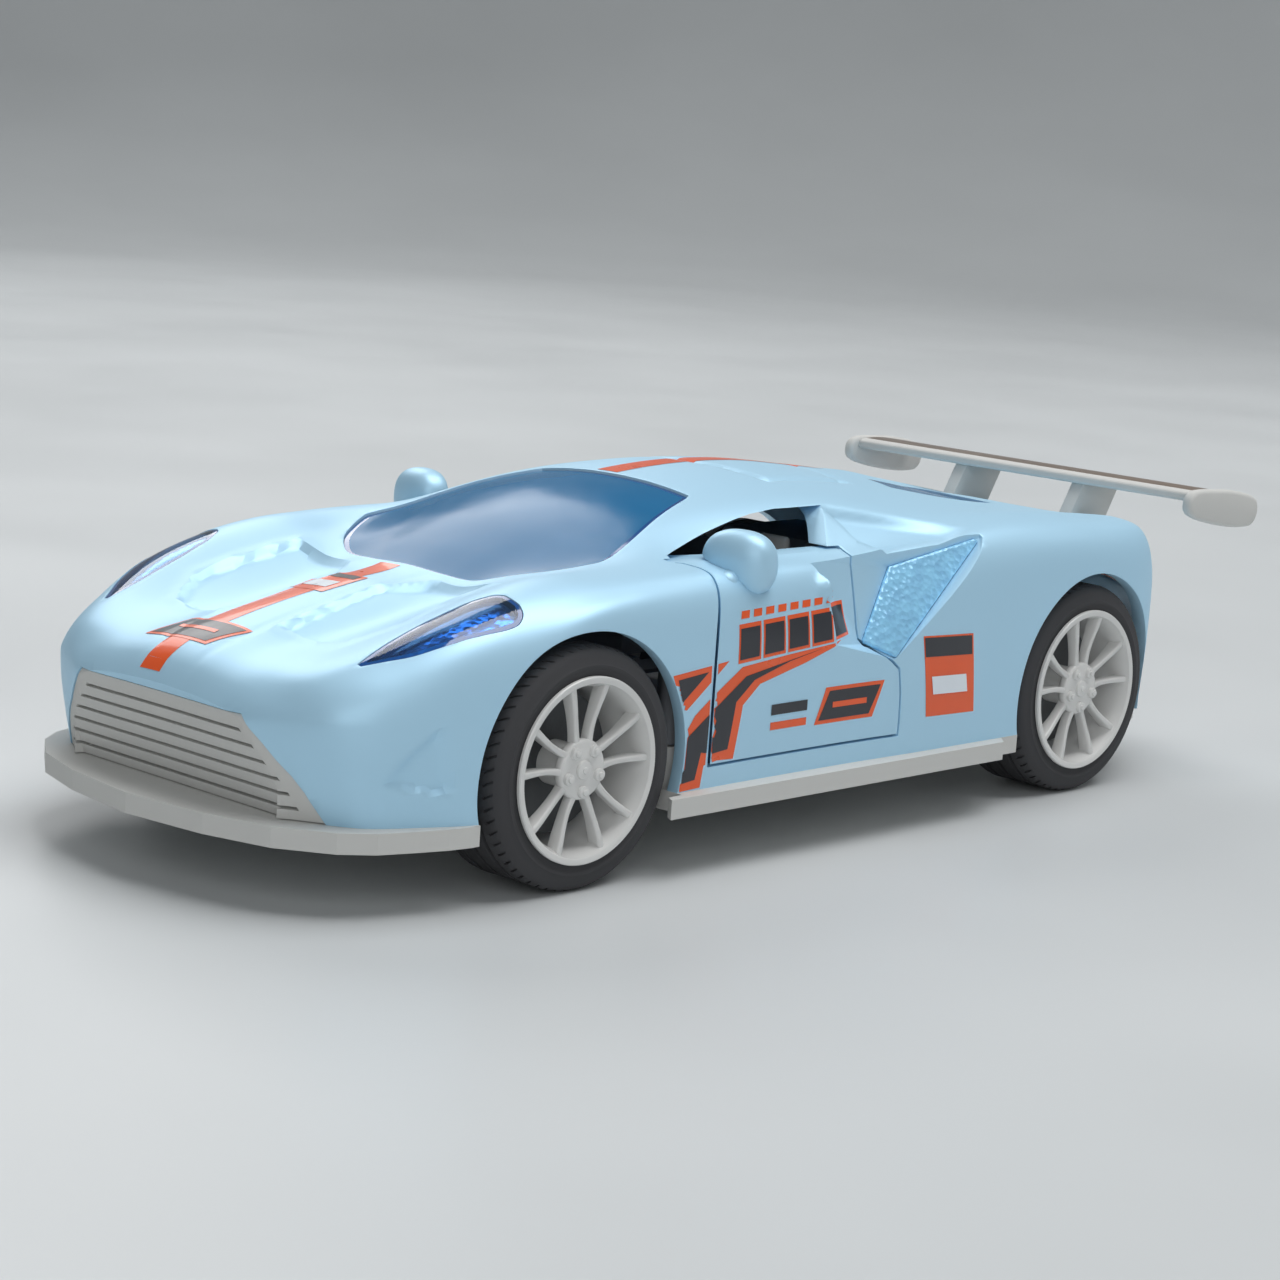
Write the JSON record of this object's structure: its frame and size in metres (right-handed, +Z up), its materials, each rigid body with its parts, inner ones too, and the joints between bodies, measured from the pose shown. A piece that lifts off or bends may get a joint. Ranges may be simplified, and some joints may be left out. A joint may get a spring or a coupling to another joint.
{
  "type": "pull back car",
  "caption": "Toy race car with a coil-spring rear-axle motor, opening doors, rolling wheels, rear wing and a flat chassis underside.",
  "frame": {"origin": "on the ground under the centre of the car's bounding box", "axes": "+Z up, nose toward -Y, the car's left side toward +X"},
  "size_m": [0.06, 0.1492, 0.0362],
  "materials": {
    "body_paint": "gloss baby-blue enamel on die-cast zinc",
    "glazing": "clear blue-tinted moulded plastic",
    "lamp_lens": "deep-blue tinted lens plastic",
    "tail_lens": "red lens plastic",
    "reflector": "bright plated",
    "grey_plastic": "satin silver-grey moulded plastic",
    "rim_silver": "satin silver paint",
    "tyre_rubber": "soft black rubber",
    "cabin_plastic": "dark grained plastic",
    "seat_plastic": "light grey moulded plastic",
    "motor_plastic": "dark moulded plastic",
    "gear_plastic": "natural acetal",
    "steel": "bright drawn wire",
    "spring_steel": "blued spring strip"
  },
  "bodies": {
    "root": {"body_shell": "body_paint", "windscreen": "glazing", "rear_window": "glazing", "headlight_lens_left": "lamp_lens", "headlight_lens_right": "lamp_lens", "headlight_reflector_left": "reflector", "headlight_reflector_right": "reflector", "front_grille": "grey_plastic", "side_intake_left": "body_paint", "side_intake_right": "body_paint", "tail_lamps": "tail_lens", "rear_diffuser": "grey_plastic", "rear_wing": "grey_plastic", "chassis": "grey_plastic", "chassis_screws": "steel", "interior_tub": "cabin_plastic", "seat_left": "seat_plastic", "seat_right": "seat_plastic", "dashboard": "cabin_plastic", "steering_wheel": "cabin_plastic", "motor_case_left": "motor_plastic", "motor_case_right": "motor_plastic", "idler_pin": "steel", "barrel_pin": "steel", "door_pin_left": "steel", "door_pin_right": "steel"},
    "front_wheels": {"front_axle": "steel", "front_rim_left": "rim_silver", "front_rim_right": "rim_silver", "front_tyre_left": "tyre_rubber", "front_tyre_right": "tyre_rubber", "front_disc_left": "reflector", "front_disc_right": "reflector"},
    "rear_wheels": {"rear_axle": "steel", "rear_pinion": "gear_plastic", "rear_rim_left": "rim_silver", "rear_rim_right": "rim_silver", "rear_tyre_left": "tyre_rubber", "rear_tyre_right": "tyre_rubber", "rear_disc_left": "reflector", "rear_disc_right": "reflector"},
    "idler": {"idler_gear": "gear_plastic"},
    "spring_barrel": {"barrel_gear": "gear_plastic", "mainspring": "spring_steel"},
    "left_door": {"door_left": "body_paint", "mirror_left": "body_paint", "door_arm_left": "motor_plastic"},
    "right_door": {"door_right": "body_paint", "mirror_right": "body_paint", "door_arm_right": "motor_plastic"}
  },
  "joints": [
    {"name": "rear_axle_spin", "type": "hinge", "parent": "root", "child": "rear_wheels", "pos_m": [0, 0.0395, 0.012], "axis": [1, 0, 0], "continuous": true},
    {"name": "front_axle_spin", "type": "hinge", "parent": "root", "child": "front_wheels", "pos_m": [0, -0.0415, 0.012], "axis": [1, 0, 0], "continuous": true},
    {"name": "idler_spin", "type": "hinge", "parent": "root", "child": "idler", "pos_m": [0, 0.03122, 0.01569], "axis": [1, 0, 0], "continuous": true},
    {"name": "barrel_spin", "type": "hinge", "parent": "root", "child": "spring_barrel", "pos_m": [0, 0.02089, 0.01788], "axis": [1, 0, 0], "continuous": true},
    {"name": "left_door_hinge", "type": "hinge", "parent": "root", "child": "left_door", "pos_m": [0.0245, -0.0265, 0], "axis": [0, 0, -1], "range_deg": [0, 50]},
    {"name": "right_door_hinge", "type": "hinge", "parent": "root", "child": "right_door", "pos_m": [-0.0245, -0.0265, 0], "axis": [0, 0, 1], "range_deg": [0, 50]}
  ],
  "couplings": [
    {"joint": "idler_spin", "follows": "rear_axle_spin", "ratio": -0.5},
    {"joint": "barrel_spin", "follows": "rear_axle_spin", "ratio": 0.2}
  ]
}
